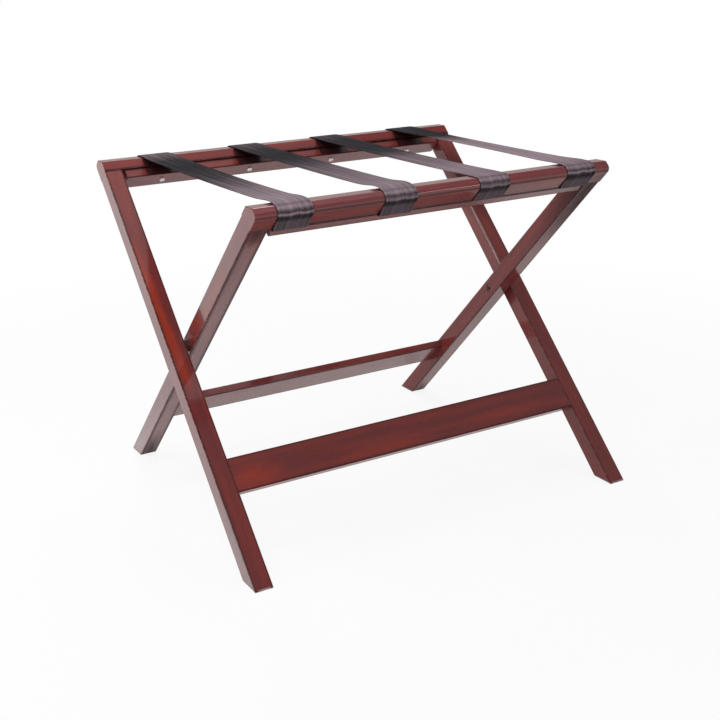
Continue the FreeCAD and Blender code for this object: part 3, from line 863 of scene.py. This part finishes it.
# ---- Pivots -------------------------------------------------------------------------------------
# A blackened socket-head bolt on each side joins the crossing legs. It runs through the inner leg
# and a moulded spacer into a threaded brass insert in the outer leg.

black_steel = fine_finish("blackened_steel", (0.150, 0.072, 0.068), (0.100, 0.050, 0.048), 0.45, 0.2)
brass = fine_finish("turned_brass", (0.80, 0.58, 0.27), (0.55, 0.38, 0.16), 0.25, 1.0)
nylon = fine_finish("moulded_nylon", (0.034, 0.018, 0.013), (0.026, 0.015, 0.012), 0.60, 0.0)
for side_name in ("left", "right"):
    finish_node("pivot_bolt_" + side_name, black_steel)
    finish_node("pivot_insert_" + side_name, brass)
    finish_node("pivot_spacer_" + side_name, nylon)


# ---- Floor, light and camera --------------------------------------------------------------------
# The rack stands on a plain white studio floor under soft light from the left. The surroundings are
# seen white, and show white near the floor and dimmer overhead in the lacquer.

FLOOR_REACH = 9.0
FLOOR_WHITE = 0.92
SHADOW_SEEN = 0.12              # share of the floor's own shading that the camera sees by the rack
SHADOW_REFLECTED = 0.60         # the same share in the lacquer's reflections
SHADOW_REACH = (0.5, 1.5)       # from the rack's middle, where the floor's shading fades to plain white
SKY_LIGHT = 0.34                # what the surroundings add to the rack's own colours
FLOOR_SIDES = 64
LAMP_AIM = Vector((0.0, 0.0, 0.3))


def by_ray(tree, camera, reflected):
    """One value for what the camera sees, one for what shows in a gloss, and 0 for plain light."""
    path = node_of(tree, "LightPath").outputs
    mirrored = maths(tree, "MAXIMUM", path["Is Glossy Ray"], path["Is Transmission Ray"])
    seen = maths(tree, "MULTIPLY", path["Is Camera Ray"], camera)
    return maths(tree, "ADD", seen, maths(tree, "MULTIPLY", mirrored, reflected))


def make_floor():
    """A round white floor that keeps the rack's shadow, faded for the camera."""
    turns = [2 * math.pi * k / FLOOR_SIDES for k in range(FLOOR_SIDES)]
    corners = [(FLOOR_REACH * math.cos(turn), FLOOR_REACH * math.sin(turn), 0.0) for turn in turns]
    floor = mesh_piece("studio_floor", corners, [tuple(range(FLOOR_SIDES))], smooth=False)
    material, tree, surface = new_finish("studio_floor_white")
    tree.nodes.remove(surface)
    paint = node_of(tree, "BsdfDiffuse", Color=(FLOOR_WHITE, FLOOR_WHITE, FLOOR_WHITE, 1.0))
    glow = node_of(tree, "Emission", Color=(1.0, 1.0, 1.0, 1.0), Strength=1.0)
    away = length_of(tree, node_of(tree, "TexCoord").outputs["Object"])
    plain = [remapped(tree, away, *SHADOW_REACH, 1 - kept, 1.0) for kept in (SHADOW_SEEN, SHADOW_REFLECTED)]
    shade = node_of(tree, "MixShader")
    wire(tree, by_ray(tree, *plain), shade.inputs[0])
    wire(tree, paint.outputs[0], shade.inputs[1])
    wire(tree, glow.outputs[0], shade.inputs[2])
    wire(tree, shade.outputs[0], tree.nodes["Material Output"].inputs["Surface"])
    floor.data.materials.append(material)


def make_surroundings():
    """A white studio, dimmer higher up in the lacquer's reflections, with a low even light of its own."""
    world = bpy.data.worlds.new("studio")
    scene.world = world
    world.use_nodes = True
    tree = world.node_tree
    tree.nodes.clear()
    height = axes_of(tree, node_of(tree, "TexCoord").outputs["Generated"])["Z"]
    low_wall = remapped(tree, height, 0.0, 0.12, 1.0, 0.45)
    ceiling = remapped(tree, height, 0.3, 0.8, 1.0, 0.6)
    reflected = maths(tree, "MULTIPLY", low_wall, ceiling)
    level = maths(tree, "MAXIMUM", reflected, node_of(tree, "LightPath").outputs["Is Camera Ray"])
    backdrop = node_of(tree, "Background", Color=(1.0, 1.0, 1.0, 1.0))
    wire(tree, level, backdrop.inputs["Strength"])
    around = node_of(tree, "Background", Color=(1.0, 1.0, 1.0, 1.0), Strength=SKY_LIGHT)
    shade = node_of(tree, "MixShader")
    wire(tree, by_ray(tree, 1.0, 1.0), shade.inputs[0])
    wire(tree, around.outputs[0], shade.inputs[1])
    wire(tree, backdrop.outputs[0], shade.inputs[2])
    out = tree.nodes.new("ShaderNodeOutputWorld")
    wire(tree, shade.outputs[0], out.inputs["Surface"])


def make_lamp(name, place, size, watts):
    """A round softbox that looks at the rack's middle and isn't seen itself."""
    lamp = bpy.data.lights.new(name, "AREA")
    lamp.shape = "DISK"
    lamp.size = size
    lamp.energy = watts
    holder = bpy.data.objects.new(name, lamp)
    scene.collection.objects.link(holder)
    holder.location = place
    holder.rotation_euler = (LAMP_AIM - Vector(place)).to_track_quat("-Z", "Y").to_euler()
    holder.visible_camera = False


make_floor()
make_surroundings()
make_lamp("front_left", (-0.9, -1.0, 1.5), 0.9, 5.0)
make_lamp("left", (-1.8, 0.6, 0.9), 0.9, 7.0)
make_lamp("over_left", (-0.6, 0.0, 1.3), 0.6, 4.5)
make_lamp("overhead", (0.1, -0.1, 1.5), 1.2, 2.0)
make_lamp("behind", (0.3, 0.9, 1.7), 0.8, 9.0)
make_lamp("front_right", (0.9, -1.4, 1.0), 0.3, 1.0)

camera = bpy.data.cameras.new("camera")
camera.sensor_width = 36.0
camera.lens = 58.542
camera.shift_x = 0.0539
camera.shift_y = -0.1002
eye = bpy.data.objects.new("camera", camera)
scene.collection.objects.link(eye)
EYE_PLACE = (-0.83994, -1.40899, 0.74297)
EYE_YAW = math.radians(-29.056)
EYE_PITCH = math.radians(-15.70)
EYE_ROLL = math.radians(-1.446)
turned = Matrix.Rotation(EYE_YAW, 4, "Z") @ Matrix.Rotation(math.pi / 2 + EYE_PITCH, 4, "X")
eye.matrix_world = Matrix.Translation(EYE_PLACE) @ turned @ Matrix.Rotation(EYE_ROLL, 4, "Z")
scene.camera = eye
scene.view_settings.view_transform = "Standard"
